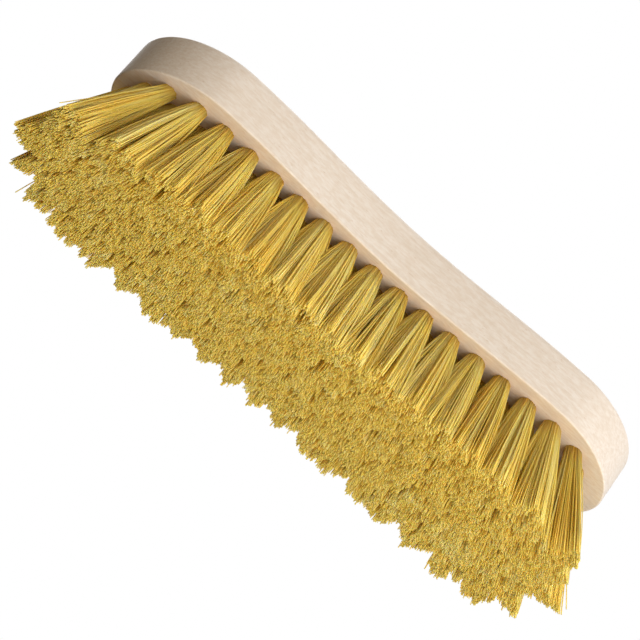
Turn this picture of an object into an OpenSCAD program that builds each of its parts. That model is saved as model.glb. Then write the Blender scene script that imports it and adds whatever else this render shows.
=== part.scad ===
// Staple-set scrub brush: a waisted wooden block standing on its trimmed fibre tufts.
// Millimetres, the back of the block faces up, the tips of the bristles stand on z = 0,
// the length runs along X and the middle of the tufts is at x = 0, y = 0. The block sits off
// that middle by as much as its drilling is off its own.

/* [Block] */
// Length of the wooden block
block_length = 220; // [205:1:240]
// Thickness of the wooden block
block_thickness = 20; // [18:0.5:26]
// Width across the two humps
hump_width = 57; // [54:0.5:64]
// Width at the waist in the middle
waist_width = 47.8; // [44:0.2:52]
// Distance of each hump from the middle
hump_distance = 76; // [68:1:82]
// Fullness of the round ends, where 2 is an ellipse
end_fullness = 1.9; // [1.8:0.05:2.4]
// Radius along the edge of the back
back_radius = 2.5; // [1:0.1:4]
// Small bevel along the edge of the tuft face
face_bevel = 0.6; // [0.3:0.1:1.2]

/* [Drilling] */
// Number of tufts along the centre line
centre_tufts = 19; // [15:2:19]
// From the end of the block to the middle of its last hole, with no shift
end_margin = 7.4; // [7:0.2:12]
// How far the whole drilling sits off the middle of the block
drilling_shift = -2.4; // [-3:0.2:3]
// From the side of the block to the middle of its outer row, at the waist
waist_margin = 7; // [6:0.2:9]
// From the side of the block to the middle of its outer row, at the humps
hump_margin = 9; // [7:0.2:11]
// Diameter of a tuft hole
hole_diameter = 5.2; // [4.8:0.1:5.6]
// Depth of a tuft hole along its own axis
hole_depth = 12; // [10:0.5:13]
// Lean of the last holes towards the ends
end_lean = 18; // [8:1:22]
// Lean of the outer rows towards the sides
side_lean = 11; // [4:1:15]
// Place of the two tufts next to the last one, as a share of the way to the outer row
corner_share = 0.7; // [0.6:0.05:0.7]
// How far the last tuft of the middle row sits back from its regular place
last_back = 2.8; // [0:0.2:3]

/* [Tufts] */
// Height of the bristles over the tuft face
bristle_height = 42; // [34:1:50]
// Gap between the folded fibres and the wall of their hole
tuft_clearance = 0.1; // [0.05:0.05:0.2]
// Rounding of the fold at the bottom of the hole
fold_radius = 1.2; // [0.6:0.1:1.6]
// Height over the tuft face at which a bundle opens into locks
collar_height = 3.4; // [2.6:0.1:5]
// How far the bundle swells by then, on the radius
collar_swell = 0.4; // [0.1:0.1:0.6]
// How far a lock starts inside the bundle
lock_overlap = 1.4; // [1:0.1:1.8]
// Width of a lock of fibres where it leaves the bundle
lock_root = 1.3; // [1:0.1:1.4]
// Width of a lock halfway
lock_middle = 2.1; // [1.4:0.1:2.2]
// Width of a lock at its trimmed tip
lock_tip = 1.7; // [1:0.1:2.2]
// Distance of a lock's root from the side of the bundle, in widths of the lock
lock_inset = 0.75; // [0.6:0.05:0.9]
// How far a lock bows inwards halfway, as a share of its spread
lock_bow = 0.04; // [0:0.01:0.08]
// How far a tuft's outer locks spread at the tips, lengthwise
spread_length = 3; // [2:0.1:3.2]
// How far a tuft's outer locks spread at the tips, crosswise
spread_width = 3.6; // [2:0.1:3.8]
// Unevenness of the trimmed tips
tip_stray = 0.3; // [0:0.1:0.5]

/* [Anchors] */
// Length of an anchor, which bites into the wood on both sides of the hole
anchor_length = 6.6; // [6.2:0.1:7.4]
// Width of the flat anchor wire, along the hole
anchor_width = 2; // [1.4:0.1:2.4]
// Thickness of the anchor wire
anchor_thickness = 0.4; // [0.3:0.05:0.6]
// From the bottom of the hole to the anchor
anchor_cover = 1.4; // [1.2:0.1:2]
// Gap round an anchor
anchor_clearance = 0.05; // [0.02:0.01:0.1]

/* [Hidden] */
face_z = bristle_height;
back_z = face_z + block_thickness;
half_length = block_length / 2;
last_row = centre_tufts - 1;
half_pitch = (half_length - end_margin) / last_row;
rows = [-last_row:last_row];
outline_steps = 15;
round_steps = 4;
round_detail = 24;
// Steps of the numbers that give each lock its own stray, and of its second direction
row_stride = 37;
share_stride = 10;
second_stride = 500;

// Unevenness that looks random but follows a rule: -1 to 1 for any whole number.
function uneven(n) = sin(n * 137.5) * cos(n * 61.3);

// The outline: 0 at the waist to 1 at a hump, as the square of a sine.
function swell(x) = pow(sin(90 * min(abs(x), hump_distance) / hump_distance), 2);
// Half the width between the humps, and the round end as a superellipse by its own angle.
function waist_half(x) = waist_width / 2 + (hump_width - waist_width) / 2 * swell(x);
function end_x(a) = hump_distance + (half_length - hump_distance) * pow(sin(a), 2 / end_fullness);
function end_y(a) = hump_width / 2 * pow(max(cos(a), 0), 2 / end_fullness);
function end_share(x) = (abs(x) - hump_distance) / (half_length - hump_distance);
function end_half(x) =
    hump_width / 2 * pow(1 - pow(end_share(x), end_fullness), 1 / end_fullness);
function half_width(x) = abs(x) <= hump_distance ? waist_half(x) : end_half(x);

// A quarter of the outline from the middle of the far side round to the end, then mirrored.
quarter = concat(
    [for (i = [0:outline_steps - 1]) let (x = hump_distance * i / outline_steps) [x, waist_half(x)]],
    [for (i = [0:outline_steps]) let (a = 90 * i / outline_steps) [end_x(a), end_y(a)]]
);
last_point = len(quarter) - 1;
outline = concat(
    quarter,
    [for (i = [last_point - 1:-1:0]) [quarter[i].x, -quarter[i].y]],
    [for (i = [1:last_point]) [-quarter[i].x, -quarter[i].y]],
    [for (i = [last_point - 1:-1:1]) [-quarter[i].x, quarter[i].y]]
);
count = len(outline);
// The outline drawn in by a distance, along the normal between its two neighbours.
function drawn_in(distance) = [
    for (i = [0:count - 1])
        let (along = outline[(i + 1) % count] - outline[(i + count - 1) % count])
        outline[i] + distance * [along.y, -along.x] / norm(along)
];

// A tuft's place on the face and its lean, from its row along the block and its share of the
// width. Row 0 is the middle, even rows hold three tufts and odd rows hold two.
function back_step(row) = abs(row) == last_row ? sign(row) * last_back : 0;
function row_x(row) = drilling_shift + row * half_pitch - back_step(row);
function row_reach(x) = half_width(x) - waist_margin - (hump_margin - waist_margin) * swell(x);
function is_odd(row) = abs(row) % 2 == 1;
function pair_share(row) = abs(row) == last_row - 1 ? corner_share : 0.5;
function shares(row) =
    is_odd(row) ? [-pair_share(row), pair_share(row)] : abs(row) == last_row ? [0] : [-1, 0, 1];
function mouth(row, share) = [row_x(row), share * row_reach(row_x(row)), face_z];
function lean_end(row) = end_lean * pow(row / last_row, 3);
function lean_side(share) = side_lean * share;
// How far the tuft runs along X and Y for each millimetre that it drops.
function run(row, share) =
    [tan(lean_end(row)), tan(lean_side(share)) / cos(lean_end(row)), -1];

// Puts a piece on the axis of a hole, with its own +Z running into the wood.
module on_hole(row, share) {
    translate(mouth(row, share))
        rotate([lean_side(share), -lean_end(row), 0])
            children();
}

module drilled_hole() {
    radius = hole_diameter / 2;
    translate([0, 0, -radius])
        cylinder(hole_depth + radius, r = radius, $fn = round_detail);
}

module anchor_shape(gap) {
    middle = hole_depth - anchor_cover - anchor_width / 2;
    size = [anchor_length, anchor_thickness, anchor_width];
    translate([0, 0, middle])
        cube(size + 2 * gap * [1, 1, 1], center = true);
}

// The block: rings of the outline, bevelled at the tuft face and rounded at the back.
module block_body() {
    rings = concat(
        [[face_z, face_bevel], [face_z + face_bevel, 0]],
        [for (i = [0:round_steps]) let (a = 90 * i / round_steps)
            [back_z - back_radius * (1 - sin(a)), back_radius * (1 - cos(a))]]
    );
    points = [for (ring = rings) for (p = drawn_in(ring[1])) [p.x, p.y, ring[0]]];
    top = len(rings) - 1;
    walls = [
        for (k = [0:top - 1]) for (i = [0:count - 1])
            let (a = k * count + i, b = k * count + (i + 1) % count)
            each [[a, b, a + count], [b, b + count, a + count]]
    ];
    caps = [[for (i = [count - 1:-1:0]) i], [for (i = [0:count - 1]) top * count + i]];
    polyhedron(points, concat(walls, caps), convexity = 4);
}

module tuft_seat() {
    drilled_hole();
    anchor_shape(anchor_clearance);
}

module block() {
    color("wheat")
        difference() {
            block_body();
            for (row = rows) for (share = shares(row))
                on_hole(row, share) tuft_seat();
        }
}

// The folded end of a bundle in its hole, with the slit where the anchor holds it.
module folded_end() {
    radius = hole_diameter / 2 - tuft_clearance;
    steepest = end_lean + side_lean / 2;
    opening = radius * tan(steepest);
    difference() {
        rotate_extrude($fn = round_detail)
            polygon([
                [0, -collar_height], [radius + collar_swell, -collar_height], [radius, -opening],
                [radius, hole_depth - fold_radius], [radius - fold_radius, hole_depth],
                [0, hole_depth]
            ]);
        anchor_shape(anchor_clearance);
    }
}

// A lock of fibres: four sides, from a square in the bundle over one halfway to one on the floor.
function corners(centre, width, spin) = [
    for (i = [0:3]) centre + width / sqrt(2) * [cos(spin + 90 * i), sin(spin + 90 * i), 0]
];

module lock(root, middle, tip, spin) {
    points = concat(
        corners(root, lock_root, spin),
        corners(middle, lock_middle, spin),
        corners(tip, lock_tip, spin)
    );
    sides = [
        for (k = [0, 4]) for (i = [0:3])
            let (a = k + i, b = k + (i + 1) % 4)
            each [[a, b, a + 4], [b, b + 4, a + 4]]
    ];
    polyhedron(points, concat(sides, [[0, 3, 2], [0, 2, 1], [8, 9, 10], [8, 10, 11]]));
}

module tuft(row, share) {
    start = mouth(row, share);
    sunk = collar_height - lock_overlap;
    bundle = hole_diameter / 2 - tuft_clearance - lock_inset * lock_root;
    on_hole(row, share) folded_end();
    for (k = [0:4]) {
        side = k == 0 ? [0, 0, 0] : [cos(90 * k - 45), sin(90 * k - 45), 0];
        number = row_stride * row + share_stride * share + k;
        stray = tip_stray * [uneven(number), uneven(number + second_stride), 0];
        fan = [side.x * spread_length, side.y * spread_width, 0] * sqrt(2);
        root = start + sunk * run(row, share) + bundle * side;
        tip = start + bristle_height * run(row, share) + fan + stray;
        bow = lock_bow * (fan - bundle * side);
        lock(root, (root + tip) / 2 - bow, tip, k == 0 ? 0 : 45);
    }
}

module tuft_row(row) {
    color("goldenrod")
        for (share = shares(row)) tuft(row, share);
}

module anchors() {
    color("silver")
        for (row = rows) for (share = shares(row))
            on_hole(row, share) anchor_shape(0);
}

function row_name(row) =
    let (number = row + last_row + 1)
    str("tuft_row_", number < 10 ? "0" : "", number);

// Moves a node so that the tufts, and not the block, are in the middle.
module placed() {
    translate([-drilling_shift, 0, 0])
        children();
}

placed() block();
placed() anchors();
for (row = rows)
    placed() tuft_row(row);
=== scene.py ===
import math
import bpy
import numpy as np
from mathutils import Matrix, Vector


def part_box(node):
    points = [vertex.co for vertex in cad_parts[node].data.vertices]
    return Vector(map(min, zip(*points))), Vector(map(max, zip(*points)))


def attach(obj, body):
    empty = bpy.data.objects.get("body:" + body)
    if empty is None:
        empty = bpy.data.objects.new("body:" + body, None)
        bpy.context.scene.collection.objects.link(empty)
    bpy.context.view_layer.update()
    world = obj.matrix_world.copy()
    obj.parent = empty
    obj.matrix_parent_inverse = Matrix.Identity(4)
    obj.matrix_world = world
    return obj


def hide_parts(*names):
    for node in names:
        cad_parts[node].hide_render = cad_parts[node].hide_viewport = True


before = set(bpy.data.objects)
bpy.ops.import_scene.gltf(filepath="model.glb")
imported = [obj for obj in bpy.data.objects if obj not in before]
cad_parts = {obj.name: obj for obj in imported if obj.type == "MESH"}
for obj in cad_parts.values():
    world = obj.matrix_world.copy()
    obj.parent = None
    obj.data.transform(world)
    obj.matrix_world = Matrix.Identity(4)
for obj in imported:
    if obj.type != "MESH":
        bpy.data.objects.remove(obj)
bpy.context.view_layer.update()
scene = bpy.context.scene
print("stage: frame loaded")


# Camera, at the photograph's angle: it looks up at the tuft face from beside the long side.
cameraSettings = {
    "place": (-0.0897, -0.8066, -0.5213),
    "azimuth": -6.18,      # degrees, 0 looks along +Y
    "elevation": -33.92,   # below the horizon, so it looks up
    "roll": 38.44,
    "lens": 163.4,         # mm on a 36 mm sensor
}


def makeCamera(settings):
    data = bpy.data.cameras.new("camera")
    data.lens = settings["lens"]
    data.sensor_width = 36.0
    data.clip_start, data.clip_end = 0.05, 20.0
    camera = bpy.data.objects.new("camera", data)
    azimuth, elevation, roll = (math.radians(settings[k]) for k in ("azimuth", "elevation", "roll"))
    forward = Vector((-math.sin(azimuth) * math.cos(elevation),
                      math.cos(azimuth) * math.cos(elevation), -math.sin(elevation)))
    right = forward.cross(Vector((0, 0, 1))).normalized()
    up = right.cross(forward)
    across = right * math.cos(roll) + up * math.sin(roll)
    above = up * math.cos(roll) - right * math.sin(roll)
    turn = Matrix((across, above, -forward)).transposed()
    camera.matrix_world = Matrix.Translation(settings["place"]) @ turn.to_4x4()
    scene.collection.objects.link(camera)
    scene.camera = camera


makeCamera(cameraSettings)
print("stage: camera")


# Helpers for node materials.
def newMaterial(name, roughness, specular=0.5):
    material = bpy.data.materials.new(name)
    material.use_nodes = True
    shader = material.node_tree.nodes["Principled BSDF"]
    shader.inputs["Roughness"].default_value = roughness
    shader.inputs["Specular IOR Level"].default_value = specular
    return material, material.node_tree, shader


def addNode(tree, kind, values=None, **settings):
    node = tree.nodes.new(kind)
    for key, value in settings.items():
        setattr(node, key, value)
    for key, value in (values or {}).items():
        node.inputs[key].default_value = value
    return node


def linear(red, green, blue):
    # A display colour, 0 to 255, as the linear value that a shader takes.
    share = np.array([red, green, blue]) / 255.0
    low, high = share / 12.92, ((share + 0.055) / 1.055) ** 2.4
    return (*np.where(share <= 0.04045, low, high).tolist(), 1.0)


def rampNode(tree, factor, stops):
    ramp = tree.nodes.new("ShaderNodeValToRGB").color_ramp
    node = tree.nodes[-1]
    while len(ramp.elements) < len(stops):
        ramp.elements.new(0.5)
    for element, (place, colour) in zip(ramp.elements, stops):
        element.position, element.color = place, colour
    tree.links.new(factor, node.inputs["Fac"])
    return node


def mixColour(tree, kind, factor, first, second):
    node = addNode(tree, "ShaderNodeMix", data_type="RGBA", blend_type=kind)
    for socket, value in ((node.inputs[0], factor), (node.inputs[6], first), (node.inputs[7], second)):
        if isinstance(value, bpy.types.NodeSocket):
            tree.links.new(value, socket)
        else:
            socket.default_value = value
    return node.outputs[2]


def stretchedNoise(tree, scale, detail, roughness=0.55, lengthways=1.0, across=1.0):
    # Noise on object coordinates; a large number across gives streaks along the grain, which is X.
    place = addNode(tree, "ShaderNodeTexCoord")
    mapping = addNode(tree, "ShaderNodeMapping")
    mapping.inputs["Scale"].default_value = (lengthways, across, across)
    noise = addNode(tree, "ShaderNodeTexNoise",
                    {"Scale": scale, "Detail": detail, "Roughness": roughness})
    tree.links.new(place.outputs["Object"], mapping.inputs["Vector"])
    tree.links.new(mapping.outputs["Vector"], noise.inputs["Vector"])
    return noise.outputs["Fac"]


# Wooden block.
block = {
    "humpWidth": 0.057,
    "waistWidth": 0.0478,
    "humpDistance": 0.076,
    "endFullness": 1.9,       # 2 would be an ellipse
    "backRadius": 0.0025,
    "faceBevel": 0.0006,
    "pointsBetweenHumps": 90,
    "pointsRoundEnd": 110,
    "roundSteps": 8,
    "pale": linear(243, 237, 229),
    "warm": linear(238, 229, 218),
    "mottle": linear(231, 218, 203),
    "fleck": linear(216, 198, 178),
    "cloudScale": 45,         # noise scales, in features for each metre
    "mottleScale": 1100,
    "grainScale": 900,
    "fleckScale": 1900,
    "grainShare": 0.7,        # how much of the grain's tone shows
    "bump": 0.2,
    "roughness": 0.65,
    "specular": 0.25,
}
blockLow, blockHigh = (np.array(corner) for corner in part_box("block"))
faceZ, backZ = blockLow[2], blockHigh[2]
blockX = (blockLow[0] + blockHigh[0]) / 2
halfLength = (blockHigh[0] - blockLow[0]) / 2


def swell(x):
    # 0 at the waist to 1 at a hump: the square of a sine. Here x runs from the block's middle.
    return np.sin(np.pi / 2 * np.minimum(np.abs(x), block["humpDistance"]) / block["humpDistance"]) ** 2


def halfWidth(x):
    # Half the block's width at x: waist plus swell up to the humps, then a superellipse.
    waist, hump, power = block["waistWidth"] / 2, block["humpWidth"] / 2, block["endFullness"]
    share = np.clip((np.abs(x) - block["humpDistance"]) / (halfLength - block["humpDistance"]), 0, 1)
    return np.where(share > 0, hump * (1 - share ** power) ** (1 / power),
                    waist + (hump - waist) * swell(x))


def blockOutline():
    # A quarter from the waist to the end, by x and then by the superellipse's own angle, mirrored.
    hump, power = block["humpWidth"] / 2, block["endFullness"]
    x = np.linspace(0, block["humpDistance"], block["pointsBetweenHumps"], endpoint=False)
    angle = np.linspace(0, np.pi / 2, block["pointsRoundEnd"])
    reach = halfLength - block["humpDistance"]
    endX = block["humpDistance"] + reach * np.sin(angle) ** (2 / power)
    endY = hump * np.clip(np.cos(angle), 0, 1) ** (2 / power)
    quarter = np.column_stack([np.r_[x, endX], np.r_[halfWidth(x), endY]])
    quarter[-1, 1] = 0
    mirrored = [quarter, quarter[-2::-1] * [1, -1], quarter[1:] * [-1, -1], quarter[-2:0:-1] * [-1, 1]]
    return np.vstack(mirrored)[::-1]


def drawnIn(outline, distance):
    # The outline moved inwards along the normal between each point's two neighbours.
    along = np.roll(outline, -1, axis=0) - np.roll(outline, 1, axis=0)
    normal = np.column_stack([-along[:, 1], along[:, 0]]) / np.linalg.norm(along, axis=1)[:, None]
    return outline + normal * distance


def gridFaces(rings, sides, start=0):
    # Quads between closed rings of points, facing outwards for counterclockwise rings going up.
    ring, side = np.meshgrid(np.arange(rings - 1), np.arange(sides), indexing="ij")
    here, after = ring * sides + side, ring * sides + (side + 1) % sides
    return (np.stack([here, after, after + sides, here + sides], axis=-1) + start).reshape(-1, 4)


def makeBlock():
    # The side is a stack of the outline, drawn in and raised along a quarter circle at the tuft
    # face and again at the back. A flat cap closes each end.
    outline = blockOutline()
    count = len(outline)
    quarterTurn = np.linspace(0, np.pi / 2, block["roundSteps"])
    bevel, radius = block["faceBevel"], block["backRadius"]
    heights = np.r_[faceZ + bevel * (1 - np.cos(quarterTurn)), backZ - radius * (1 - np.sin(quarterTurn))]
    insets = np.r_[bevel * (1 - np.sin(quarterTurn)), radius * (1 - np.cos(quarterTurn))]
    rings = [np.column_stack([drawnIn(outline, inset) + [blockX, 0], np.full(count, height)])
             for height, inset in zip(heights, insets)]
    faces = gridFaces(len(rings), count).tolist()
    last = (len(rings) - 1) * count
    caps = [list(range(count))[::-1], list(range(last, last + count))]
    mesh = bpy.data.meshes.new("woodBlock")
    mesh.from_pydata(np.vstack(rings).tolist(), [], faces + caps)
    smooth = np.ones(len(mesh.polygons), dtype=bool)
    smooth[-2:] = False
    mesh.polygons.foreach_set("use_smooth", smooth)
    piece = bpy.data.objects.new("woodBlock", mesh)
    scene.collection.objects.link(piece)
    mesh.materials.append(woodMaterial())
    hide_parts("block")
    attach(piece, "root")


def woodMaterial():
    # Pale beech: broad cloudy tone, soft mottling of about a millimetre, long faint grain and a
    # few short flecks along the grain.
    material, tree, shader = newMaterial("paleBeech", block["roughness"], block["specular"])
    cloud = stretchedNoise(tree, block["cloudScale"], 3, 0.5, 0.35, 1.0)
    mottle = stretchedNoise(tree, block["mottleScale"], 3, 0.6, 0.3, 1.0)
    grain = stretchedNoise(tree, block["grainScale"], 3, 0.6, 0.04, 1.0)
    flecks = stretchedNoise(tree, block["fleckScale"], 2, 0.5, 0.25, 1.0)
    base = rampNode(tree, cloud, [(0.25, block["warm"]), (0.75, block["pale"])])
    mottleMask = rampNode(tree, mottle, [(0.38, (0.7, 0.7, 0.7, 1)), (0.62, (0, 0, 0, 1))])
    mottled = mixColour(tree, "MIX", mottleMask.outputs["Color"], base.outputs["Color"], block["mottle"])
    grainTone = rampNode(tree, grain, [(0.38, (0.93, 0.91, 0.88, 1)), (0.6, (1, 1, 1, 1))])
    streaked = mixColour(tree, "MULTIPLY", block["grainShare"], mottled, grainTone.outputs["Color"])
    fleckMask = rampNode(tree, flecks, [(0.66, (0, 0, 0, 1)), (0.74, (0.7, 0.7, 0.7, 1))])
    flecked = mixColour(tree, "MIX", fleckMask.outputs["Color"], streaked, block["fleck"])
    tree.links.new(flecked, shader.inputs["Base Color"])
    bump = addNode(tree, "ShaderNodeBump", {"Strength": block["bump"], "Distance": 0.0002})
    tree.links.new(grain, bump.inputs["Height"])
    tree.links.new(bump.outputs["Normal"], shader.inputs["Normal"])
    return material


makeBlock()
print("stage: block")


# Tufts: every fibre is its own thin four-sided rod, gathered into pointed locks. Lengths are
# metres. The near side is the -Y side, and the two ends are the rows beyond "sideRows".
tufts = {
    "lastRow": 18,                # rows run from -18 to 18, the middle one is 0
    "sideRows": 15,
    "endMargin": 0.0074,          # end of the block to the last hole, before the shift
    "lastBack": 0.0028,           # how far the last tuft sits back from its regular place
    "waistMargin": 0.007,         # side of the block to the outer row, at the waist
    "humpMargin": 0.009,          # the same at the humps
    "cornerShare": 0.7,           # place of the two tufts next to the last one
    "endLean": (18.0, 18.5),      # degrees, last holes towards the -X and the +X end
    "cornerLean": (10.0, 7.5),    # degrees more for the worn near corners at the -X and +X end
    "cornerFrom": 0.7,            # share of the last row where that begins
    "cornerRise": 0.19,           # share over which it grows by its full value
    "sideLean": 11.0,             # degrees, outer rows towards the sides
    "nearFade": 0.8,              # how much of that lean the near side loses at the ends
    "turnFrom": 0.72,             # share of the last row where the way out turns to the end
    "farTurn": 0.5,               # how much of that turn the +Y side has
    "fibres": 520,
    "locks": 15,
    "mouthRadius": 0.0026,
    "mouthPower": 0.45,           # below 0.5 the fibres stand closer at the mouth's rim
    "discShake": 0.035,           # chance shift of a place in a disc, as a share of its radius
    "lockSpread": 0.9,            # how far apart the locks stay at the tips
    "lockShake": 0.05,
    "fibreWidth": 0.0004,
    "widthVaries": (0.8, 1.2),
    "tipWidth": 0.8,              # width of a fibre's tip as a share of its root's
    "spread": (0.0112, 0.0084),   # reach of a tuft's outermost fibres at the tips, X and Y
    "sizeVaries": (0.92, 1.08),
    "nearSpread": 1.22,           # how much wider the near tufts open along X
    "endSpread": (0.74, 1.12),    # how wide the tufts at the ends are against the others, X and Y
    "endFrom": 13,                # row where that begins
    "endRise": 4,                 # rows over which it grows
    "reachOut": 0.0072,           # reach at the edge of the field, outwards
    "reachVaries": (0.88, 1.1),
    "gather": 0.6,                # how much of its own place a fibre keeps within its lock
    "flare": 0.68,                # below 1 the bundle opens early
    "endFlare": 0.2,              # how much later the bundles at the ends open
    "point": 0.0026,              # how far the middle of a lock reaches out at the edge
    "endPoint": 0.5,              # how much farther it does at the ends
    "pointed": 0.96,              # how much of its width an edge tuft loses outwards
    "narrowing": (0.42, 0.9),     # how fast it does, low is fast
    "nearSide": 0.35,             # how much of the narrowing the near side has
    "nearEnd": 0.4,               # how much of it the near tufts and the middle have at the -X end
    "closedGaps": (-15, -13, -7, 5, 9, 15),   # places on the +Y side where two tufts have merged
    "merged": 0.3,                # how much of the narrowing is left there
    "stray": 0.0004,
    "wildShare": 0.025,           # share of fibres that stray more
    "wildTimes": 4.0,
    "wave": 0.0003,
    "uneven": 0.0008,             # unevenness of the trim
    "lockUneven": 0.0006,
    "wornEdge": 0.0045,           # how much shorter the near side's outermost fibres are
    "wornVaries": (0.3, 1.0),
    "sunk": 0.003,                # how far a fibre starts inside its hole
    "rings": 5,
    "seed": 41,
    "fibreTone": 0.1,             # spread of tone from fibre to fibre, lock to lock, tuft to tuft
    "lockTone": 0.1,
    "tuftTone": 0.05,
    "dark": linear(240, 197, 76),
    "gold": linear(250, 214, 98),
    "straw": linear(252, 229, 136),
    # painted shade: this colour darkens the fibres next to the wood, for the shade between the tufts
    # there
    "rootPaintedShade": (0.74, 0.56, 0.36, 1),
    "streakShare": 0.4,
    "roughness": 0.55,
    "specular": 0.6,
    "glow": 0.6,                  # share of the light that comes through a fibre
}
goldenAngle = 2.39996   # radians
fullTurn = 6.28
halfPitch = (halfLength - tufts["endMargin"]) / tufts["lastRow"]


def rowShares(row):
    # Which places across the block a row uses, as shares of the outer row's distance.
    if abs(row) % 2:
        pair = tufts["cornerShare"] if abs(row) == tufts["lastRow"] - 1 else 0.5
        return (-pair, pair)
    return (0.0,) if abs(row) == tufts["lastRow"] else (-1.0, 0.0, 1.0)


def rowX(row):
    # The tufts are in the middle, and the block is not: blockX is where the block's middle is.
    back = math.copysign(tufts["lastBack"], row) if abs(row) == tufts["lastRow"] else 0
    return row * halfPitch - back


def rowReach(x):
    # Distance of the outer row from the middle line, x from the block's middle.
    extra = tufts["humpMargin"] - tufts["waistMargin"]
    return halfWidth(x) - tufts["waistMargin"] - extra * swell(x)


def tuftRun(row, share):
    # How far a tuft runs along X and Y for each metre that it drops.
    side = 0 if row < 0 else 1
    nearEnd = abs(row) / tufts["lastRow"]
    beyond = max(nearEnd - tufts["cornerFrom"], 0)
    worn = tufts["cornerLean"][side] * (share == -1) * beyond / tufts["cornerRise"]
    toEnd = math.radians(tufts["endLean"][side] * nearEnd ** 3 + worn) * np.sign(row)
    fade = tufts["nearFade"] * nearEnd ** 5 if share < 0 else 0.0
    toSide = math.radians(tufts["sideLean"] * share * (1 - fade))
    return np.array([math.tan(toEnd), math.tan(toSide) / math.cos(toEnd)])


def outwardWay(row, share):
    # The way out of the field from a tuft at its edge: sideways, and turned to the end near it.
    # With it goes how fully the tuft is an edge tuft, 0 to 1.
    atEdge = abs(share) == 1 or abs(row) > tufts["sideRows"]
    nearEnd = max(abs(row) / tufts["lastRow"] - tufts["turnFrom"], 0) / (1 - tufts["turnFrom"])
    endPart = nearEnd ** 1.3 * (tufts["farTurn"] if share == 1 else 1.0)
    sidePart = (share if atEdge else 0) * (1 - 0.3 * nearEnd)
    way = np.array([math.copysign(endPart, row), sidePart])
    length = np.linalg.norm(way)
    return (way / length if length else way), (min(length, 1.0) if atEdge else 0.0)


def discPoints(count, rng, power):
    # Points in the unit disc by the golden angle, shaken a little: even at power 0.5, and
    # closer together at the rim below it.
    number = np.arange(count)
    radius = ((number + 0.5) / count) ** power
    angle = number * goldenAngle + rng.uniform(0, fullTurn)
    points = np.column_stack([radius * np.cos(angle), radius * np.sin(angle)])
    return points + rng.normal(0, tufts["discShake"], points.shape)


def isNearSide(row, share):
    return share == -1 and abs(row) < tufts["sideRows"]


def pointedness(row, share, weight, place):
    # How much of its width a tuft loses on its way out. Edge tufts end in a point, less so on
    # the near side and at the near -X end, and not towards a gap that has closed.
    pointed = tufts["pointed"] * weight
    if isNearSide(row, share):
        pointed = pointed * tufts["nearSide"]
    if share <= 0 and row < -tufts["sideRows"]:
        pointed = pointed * tufts["nearEnd"]
    if share > 0:
        nextGap = np.where(place[:, 0] > 0, row + 1, row - 1)
        pointed = pointed * np.where(np.isin(nextGap, tufts["closedGaps"]), tufts["merged"], 1.0)
    return pointed


def tipPlaces(row, share, start, rng):
    # Where the fibres of a tuft end. Each keeps part of its own place within its lock. On the
    # side that faces out, the width is 1 minus pointedness times (share of the way out) to a
    # power, the reach is that of the field's edge, and the middle of each lock stands out.
    lockPlaces = discPoints(tufts["locks"], rng, 0.5)
    near = np.linalg.norm(start[:, None] - lockPlaces[None], axis=2).argmin(axis=1)
    offset = (start - lockPlaces[near]) * tufts["gather"]
    shake = rng.normal(0, tufts["lockShake"], lockPlaces.shape)[near]
    place = lockPlaces[near] * tufts["lockSpread"] + offset + shake
    atEnd = np.clip((abs(row) - tufts["endFrom"]) / tufts["endRise"], 0, 1)
    size = rng.uniform(*tufts["sizeVaries"]) * (1 + (np.array(tufts["endSpread"]) - 1) * atEnd)
    way, weight = outwardWay(row, share)
    cross = np.array([-way[1], way[0]])
    out, aside = place @ way, place @ cross
    outShare = np.clip((out + 0.45) / 1.45, 0, 1)
    taper = 1 - pointedness(row, share, weight, place) * outShare ** rng.uniform(*tufts["narrowing"])
    edgeReach = rng.uniform(*tufts["reachVaries"]) * tufts["reachOut"] / tufts["spread"][1]
    shorter = 1 - weight * (out > 0) * (1 - edgeReach)
    if weight:
        place = (out * shorter)[:, None] * way + (aside * taper)[:, None] * cross
    wide = tufts["nearSpread"] if isNearSide(row, share) else 1.0
    middle = 1 - np.clip(np.linalg.norm(offset, axis=1) * 5, 0, 1)
    pointLength = tufts["point"] * (1 + tufts["endPoint"] * atEnd)
    standsOut = pointLength * weight * middle * np.clip(out + 0.3, 0, 1)
    tip = place * np.array(tufts["spread"]) * [wide, 1.0] * size + standsOut[:, None] * way
    wild = np.where(rng.uniform(0, 1, len(start)) < tufts["wildShare"], tufts["wildTimes"], 1.0)
    return tip + rng.normal(0, tufts["stray"], tip.shape) * wild[:, None], near


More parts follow.
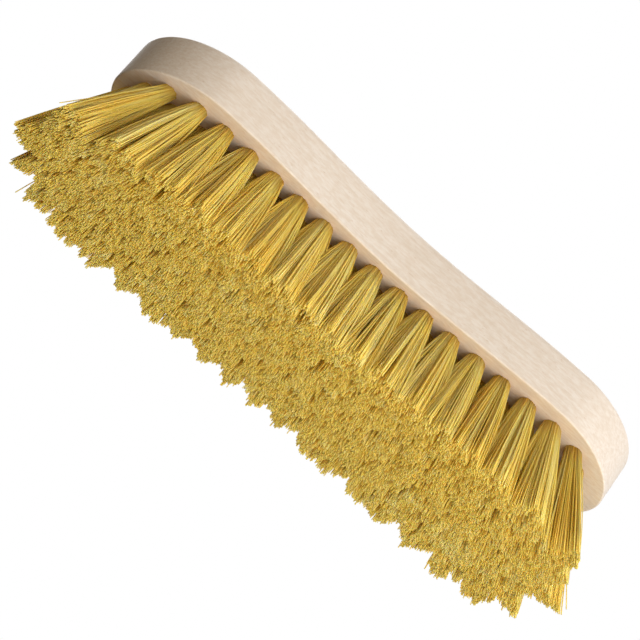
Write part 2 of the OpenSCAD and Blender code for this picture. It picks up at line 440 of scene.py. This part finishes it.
def tuftPaths(row, share, rng):
    # Each fibre goes from its place in the mouth to its place at the tip. The way between is
    # straight down the tuft's run, plus the sideways part times (depth share) to the flare,
    # plus a half sine of a bend. Trim, wear and chance shorten it from the tip.
    count, rings = tufts["fibres"], tufts["rings"]
    start = discPoints(count, rng, tufts["mouthPower"])
    tip, near = tipPlaces(row, share, start, rng)
    x = rowX(row)
    mouth = np.array([x, share * rowReach(x - blockX)])
    lift = np.abs(rng.normal(0, tufts["uneven"], count))
    lift = lift + rng.uniform(0, tufts["lockUneven"], tufts["locks"])[near]
    if share < 0:
        worn = tufts["wornEdge"] * rng.uniform(*tufts["wornVaries"], count)
        lift = lift + worn * np.clip(-start[:, 1], 0, 1) ** 2
    drop = np.linspace(-tufts["sunk"] / faceZ, 1, rings)[None] * (1 - lift / faceZ)[:, None]
    flare = tufts["flare"] + tufts["endFlare"] * abs(row / tufts["lastRow"]) ** 4
    way = np.clip(drop, 0, 1) ** flare
    base = start * tufts["mouthRadius"]
    flat = (mouth + base[:, None] + tuftRun(row, share) * (drop * faceZ)[..., None]
            + (tip - base)[:, None] * way[..., None])
    bow = np.sin(np.pi * np.clip(drop, 0, 1))[..., None]
    bend = rng.normal(0, tufts["wave"], (count, 1, 2)) * bow
    path = np.concatenate([flat + bend, (faceZ - drop * faceZ)[..., None]], axis=2)
    tone = 0.5 + rng.normal(0, tufts["fibreTone"], count)
    tone = tone + rng.normal(0, tufts["lockTone"], tufts["locks"])[near]
    tone = tone + rng.normal(0, tufts["tuftTone"])
    return path, np.clip(tone, 0, 1)


def fibreMesh(name, path, tone, rng):
    # A square ring round every point of every path, joined into rods and closed at both ends.
    count, rings = path.shape[:2]
    width = tufts["fibreWidth"] * rng.uniform(*tufts["widthVaries"], count)
    taper = np.linspace(1, tufts["tipWidth"], rings)
    spin = rng.uniform(0, np.pi / 2, count)
    corner = spin[:, None] + np.arange(4) * np.pi / 2
    square = np.stack([np.cos(corner), np.sin(corner), np.zeros_like(corner)], axis=-1) / math.sqrt(2)
    points = path[:, :, None] + square[:, None] * (width[:, None] * taper)[..., None, None]
    wall = gridFaces(rings, 4)
    ends = np.array([[0, 1, 2, 3], [4 * rings - 1, 4 * rings - 2, 4 * rings - 3, 4 * rings - 4]])
    rod = np.vstack([wall[:, ::-1], ends])
    faces = (rod[None] + (np.arange(count) * rings * 4)[:, None, None]).reshape(-1, 4)
    mesh = bpy.data.meshes.new(name)
    mesh.vertices.add(count * rings * 4)
    mesh.vertices.foreach_set("co", points.reshape(-1))
    mesh.loops.add(faces.size)
    mesh.loops.foreach_set("vertex_index", faces.reshape(-1))
    mesh.polygons.add(len(faces))
    mesh.polygons.foreach_set("loop_start", np.arange(0, faces.size, 4))
    mesh.polygons.foreach_set("use_smooth", np.ones(len(faces), dtype=bool))
    mesh.update(calc_edges=True)
    along = np.broadcast_to(np.linspace(0, 1, rings)[None, :, None], (count, rings, 4))
    values = {"tone": np.repeat(tone, rings * 4), "along": along.reshape(-1)}
    for key, value in values.items():
        layer = mesh.attributes.new(key, "FLOAT", "POINT")
        layer.data.foreach_set("value", value.astype(np.float32))
    return mesh


def fibreMaterial():
    # Golden fibre: each fibre's own tone, with painted shade that makes it a little darker and browner
    # towards the wood, where the tufts shade each other.
    material, tree, shader = newMaterial("goldenFibre", tufts["roughness"], tufts["specular"])
    tone = addNode(tree, "ShaderNodeAttribute", attribute_name="tone")
    along = addNode(tree, "ShaderNodeAttribute", attribute_name="along")
    colour = rampNode(tree, tone.outputs["Fac"],
                      [(0.12, tufts["dark"]), (0.5, tufts["gold"]), (0.9, tufts["straw"])])
    # painted shade: near the wood the fibres are multiplied darker and browner, for the shade that falls
    # between the tufts at their roots
    paintedRootShadeRamp = rampNode(tree, along.outputs["Fac"],
                        [(0.05, tufts["rootPaintedShade"]), (0.22, (1, 1, 1, 1))])
    mixed = mixColour(tree, "MULTIPLY", 1.0, colour.outputs["Color"], paintedRootShadeRamp.outputs["Color"])
    streak = stretchedNoise(tree, 1400, 2, 0.5, 1.0, 1.0)
    streakTone = rampNode(tree, streak, [(0.3, (0.86, 0.84, 0.8, 1)), (0.65, (1, 1, 1, 1))])
    final = mixColour(tree, "MULTIPLY", tufts["streakShare"], mixed, streakTone.outputs["Color"])
    tree.links.new(final, shader.inputs["Base Color"])
    shader.inputs["Subsurface Weight"].default_value = tufts["glow"]
    shader.inputs["Subsurface Radius"].default_value = (1.0, 0.7, 0.3)
    shader.inputs["Subsurface Scale"].default_value = 0.001
    return material


def makeTufts():
    rng = np.random.default_rng(tufts["seed"])
    material = fibreMaterial()
    for row in range(-tufts["lastRow"], tufts["lastRow"] + 1):
        node = "tuft_row_%02d" % (row + tufts["lastRow"] + 1)
        made = [tuftPaths(row, share, rng) for share in rowShares(row)]
        path = np.concatenate([part[0] for part in made])
        tone = np.concatenate([part[1] for part in made])
        mesh = fibreMesh("fibres%02d" % (row + tufts["lastRow"] + 1), path, tone, rng)
        mesh.materials.append(material)
        piece = bpy.data.objects.new(mesh.name, mesh)
        scene.collection.objects.link(piece)
        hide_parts(node)
        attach(piece, "root")


makeTufts()
print("stage: tufts")


# Anchors: the CAD node stays, in plain drawn wire.
def wireMaterial():
    material, tree, shader = newMaterial("anchorWire", 0.38)
    shader.inputs["Metallic"].default_value = 1.0
    drawn = stretchedNoise(tree, 3000, 2, 0.5, 0.05, 1.0)
    tone = rampNode(tree, drawn, [(0.3, linear(150, 150, 146)), (0.7, linear(196, 196, 190))])
    tree.links.new(tone.outputs["Color"], shader.inputs["Base Color"])
    return material


wire = wireMaterial()
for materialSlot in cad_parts["anchors"].material_slots:
    materialSlot.material = wire
print("stage: anchors")


# Floor, light and backdrop.
studio = {
    "floorHalf": 1.6,
    "floorGap": 0.0002,    # how far the floor lies below the tips
    "floorColour": linear(244, 243, 240),
    "fadeStart": 0.2,      # distance from the middle where the floor begins to turn white
    "fadeEnd": 0.75,
    "ambient": 0.05,
    "ambientColour": (1.0, 0.68, 0.4, 1.0),
    "key": {"place": (0.95, -1.25, -0.35), "size": 2.0, "power": 19.5, "colour": (0.98, 1.0, 1.06)},
    "front": {"place": (0.15, -1.65, -0.1), "size": 2.2, "power": 9.9, "colour": (1.0, 0.78, 0.5)},
    "side": {"place": (1.4, -0.8, -0.2), "size": 1.4, "power": 4.6, "colour": (0.92, 1.0, 1.12)},
    "under": {"place": (0.45, -0.5, -1.2), "size": 1.4, "power": 11.2, "colour": (1.0, 0.91, 0.74)},
    "top": {"place": (0.2, 0.25, 1.6), "size": 1.2, "power": 18.0, "colour": (1.0, 1.0, 1.0)},
    "behind": {"place": (-0.4, 1.4, 0.5), "size": 1.2, "power": 18.0, "colour": (1.0, 1.0, 1.0)},
}


def makeLamp(name, settings):
    data = bpy.data.lights.new(name, "AREA")
    data.shape, data.size = "DISK", settings["size"]
    data.energy, data.color = settings["power"], settings["colour"]
    lamp = bpy.data.objects.new(name, data)
    lamp.location = settings["place"]
    lamp.visible_camera = False
    toBrush = Vector((0, 0, 0.035)) - lamp.location
    lamp.rotation_euler = toBrush.to_track_quat("-Z", "Y").to_euler()
    scene.collection.objects.link(lamp)


def makeFloor():
    half = studio["floorHalf"]
    mesh = bpy.data.meshes.new("floor")
    sides = [(-half, -half), (half, -half), (half, half), (-half, half)]
    corners = [(x, y, -studio["floorGap"]) for x, y in sides]
    mesh.from_pydata(corners, [], [(0, 1, 2, 3)])
    floor = bpy.data.objects.new("floor", mesh)
    scene.collection.objects.link(floor)
    mesh.materials.append(floorMaterial())


def floorMaterial():
    # Pale and matt from above. From below it is clear, as a glass table is for a camera under
    # it. Light passes it both ways, so that the brush is lit from all sides. Far from the brush
    # it fades to plain white, so that it has no end.
    material, tree, shader = newMaterial("paleFloor", 0.9, 0.2)
    shader.inputs["Base Color"].default_value = studio["floorColour"]
    rays = addNode(tree, "ShaderNodeLightPath")
    side = addNode(tree, "ShaderNodeNewGeometry")
    clear = addNode(tree, "ShaderNodeBsdfTransparent")
    clearSide = addNode(tree, "ShaderNodeMath", operation="MAXIMUM")
    clearRay = addNode(tree, "ShaderNodeMath", operation="MAXIMUM")
    tree.links.new(side.outputs["Backfacing"], clearSide.inputs[0])
    tree.links.new(rays.outputs["Is Shadow Ray"], clearSide.inputs[1])
    tree.links.new(clearSide.outputs[0], clearRay.inputs[0])
    tree.links.new(rays.outputs["Is Diffuse Ray"], clearRay.inputs[1])
    place = addNode(tree, "ShaderNodeTexCoord")
    reach = addNode(tree, "ShaderNodeVectorMath", operation="LENGTH")
    tree.links.new(place.outputs["Object"], reach.inputs[0])
    fade = addNode(tree, "ShaderNodeMapRange",
                   {"From Min": studio["fadeStart"], "From Max": studio["fadeEnd"]},
                   interpolation_type="SMOOTHSTEP")
    tree.links.new(reach.outputs["Value"], fade.inputs["Value"])
    white = addNode(tree, "ShaderNodeEmission")
    paler = addNode(tree, "ShaderNodeMixShader")
    tree.links.new(fade.outputs["Result"], paler.inputs["Fac"])
    tree.links.new(shader.outputs["BSDF"], paler.inputs[1])
    tree.links.new(white.outputs["Emission"], paler.inputs[2])
    blend = addNode(tree, "ShaderNodeMixShader")
    tree.links.new(clearRay.outputs[0], blend.inputs["Fac"])
    tree.links.new(paler.outputs["Shader"], blend.inputs[1])
    tree.links.new(clear.outputs["BSDF"], blend.inputs[2])
    tree.links.new(blend.outputs["Shader"], tree.nodes["Material Output"].inputs["Surface"])
    return material


def makeWorld():
    world = bpy.data.worlds.new("studio")
    world.use_nodes = True
    scene.world = world
    tree = world.node_tree
    shader = tree.nodes["Background"]
    rays = addNode(tree, "ShaderNodeLightPath")
    plainSight = addNode(tree, "ShaderNodeMath", operation="MAXIMUM")
    seenRay = addNode(tree, "ShaderNodeMath", operation="MAXIMUM")
    tree.links.new(rays.outputs["Is Camera Ray"], plainSight.inputs[0])
    tree.links.new(rays.outputs["Is Glossy Ray"], plainSight.inputs[1])
    tree.links.new(plainSight.outputs[0], seenRay.inputs[0])
    tree.links.new(rays.outputs["Is Transmission Ray"], seenRay.inputs[1])
    strength = addNode(tree, "ShaderNodeMapRange", {"To Min": studio["ambient"], "To Max": 1.0})
    tree.links.new(seenRay.outputs[0], strength.inputs["Value"])
    tree.links.new(strength.outputs["Result"], shader.inputs["Strength"])
    colour = mixColour(tree, "MIX", seenRay.outputs[0], studio["ambientColour"], (1, 1, 1, 1))
    tree.links.new(colour, shader.inputs["Color"])


makeFloor()
makeWorld()
for lampName in ("key", "front", "side", "under", "top", "behind"):
    makeLamp(lampName, studio[lampName])
scene.view_settings.view_transform = "Standard"
print("stage: floor and light")
